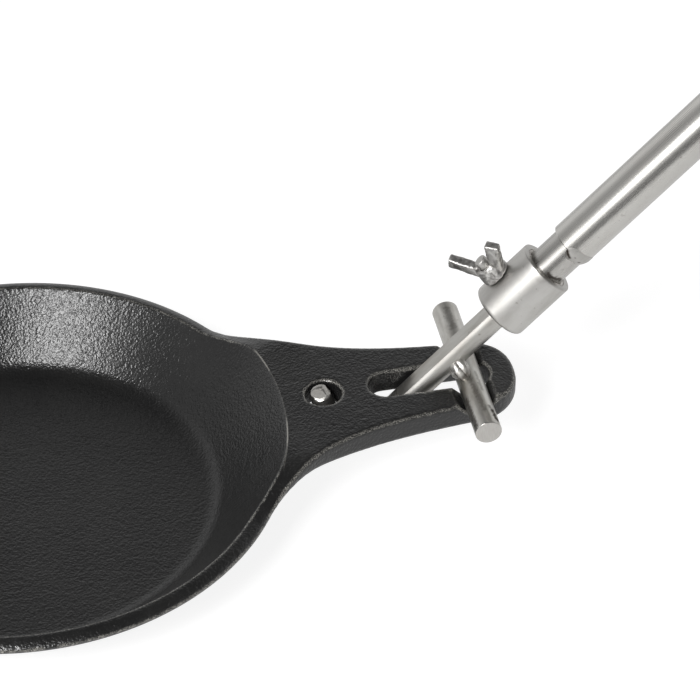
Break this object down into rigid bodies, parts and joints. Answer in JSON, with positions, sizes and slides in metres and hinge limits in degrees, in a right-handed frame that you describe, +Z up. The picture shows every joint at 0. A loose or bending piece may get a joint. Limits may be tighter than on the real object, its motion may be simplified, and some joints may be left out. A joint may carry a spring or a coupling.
{
  "type": "campfire frying pan",
  "caption": "Round cast-iron frying pan with a short slotted stub and a long detachable steel tube handle that hooks through the stub.",
  "frame": {"origin": "middle of the pan's flat underside", "axes": "+X runs out along the handle stub, +Y is the far side seen with the stub to the right, +Z is up"},
  "size_m": [0.625, 0.2416, 0.3686],
  "materials": {
    "pan_iron": "seasoned near-black casting skin",
    "rod_steel": "bright drawn bar",
    "bar_steel": "bright drawn bar with matte sawn ends",
    "bar_weld_bead": "bare weld bead",
    "bar_weld_far_bead": "bare weld bead",
    "collar_steel": "turned, satin",
    "collar_weld_bead": "dark weld ring",
    "inner_tube_steel": "bright tube",
    "outer_tube_steel": "bright tube",
    "tube_weld_patch": "ground weld",
    "plug_steel": "satin",
    "screw_steel": "bright screw",
    "wing_metal": "polished casting"
  },
  "bodies": {
    "pan": {"pan": "pan_iron"},
    "hook": {"hook_rod": "rod_steel", "cross_bar": "bar_steel", "bar_weld_near": "bar_weld_bead", "bar_weld_far": "bar_weld_far_bead"},
    "handle": {"collar": "collar_steel", "collar_weld": "collar_weld_bead", "inner_tube": "inner_tube_steel", "outer_tube": "outer_tube_steel", "tube_weld": "tube_weld_patch", "end_plug": "plug_steel"},
    "screw": {"clamp_screw": "screw_steel"},
    "wings": {"wing_head": "wing_metal"}
  },
  "joints": [
    {"name": "handle_tilt", "type": "hinge", "parent": "pan", "child": "hook", "pos_m": [0.206, 0.0015, 0.0437], "axis": [0, -1, 0], "range_deg": [0, 40]},
    {"name": "handle_reach", "type": "slide", "parent": "hook", "child": "handle", "axis": [0.6959, 0, 0.7181], "range_m": [-0.02, 0.05]},
    {"name": "screw_feed", "type": "slide", "parent": "handle", "child": "screw", "axis": [-0.6997, 0.225, 0.6781], "range_m": [0, 0.004]},
    {"name": "wing_turn", "type": "hinge", "parent": "screw", "child": "wings", "pos_m": [0.22925, 0.0015, 0.08537], "axis": [-0.6997, 0.225, 0.6781], "range_deg": [0, 1440]}
  ],
  "couplings": [
    {"joint": "screw_feed", "follows": "wing_turn", "m_per_rad": 0.00015915}
  ]
}
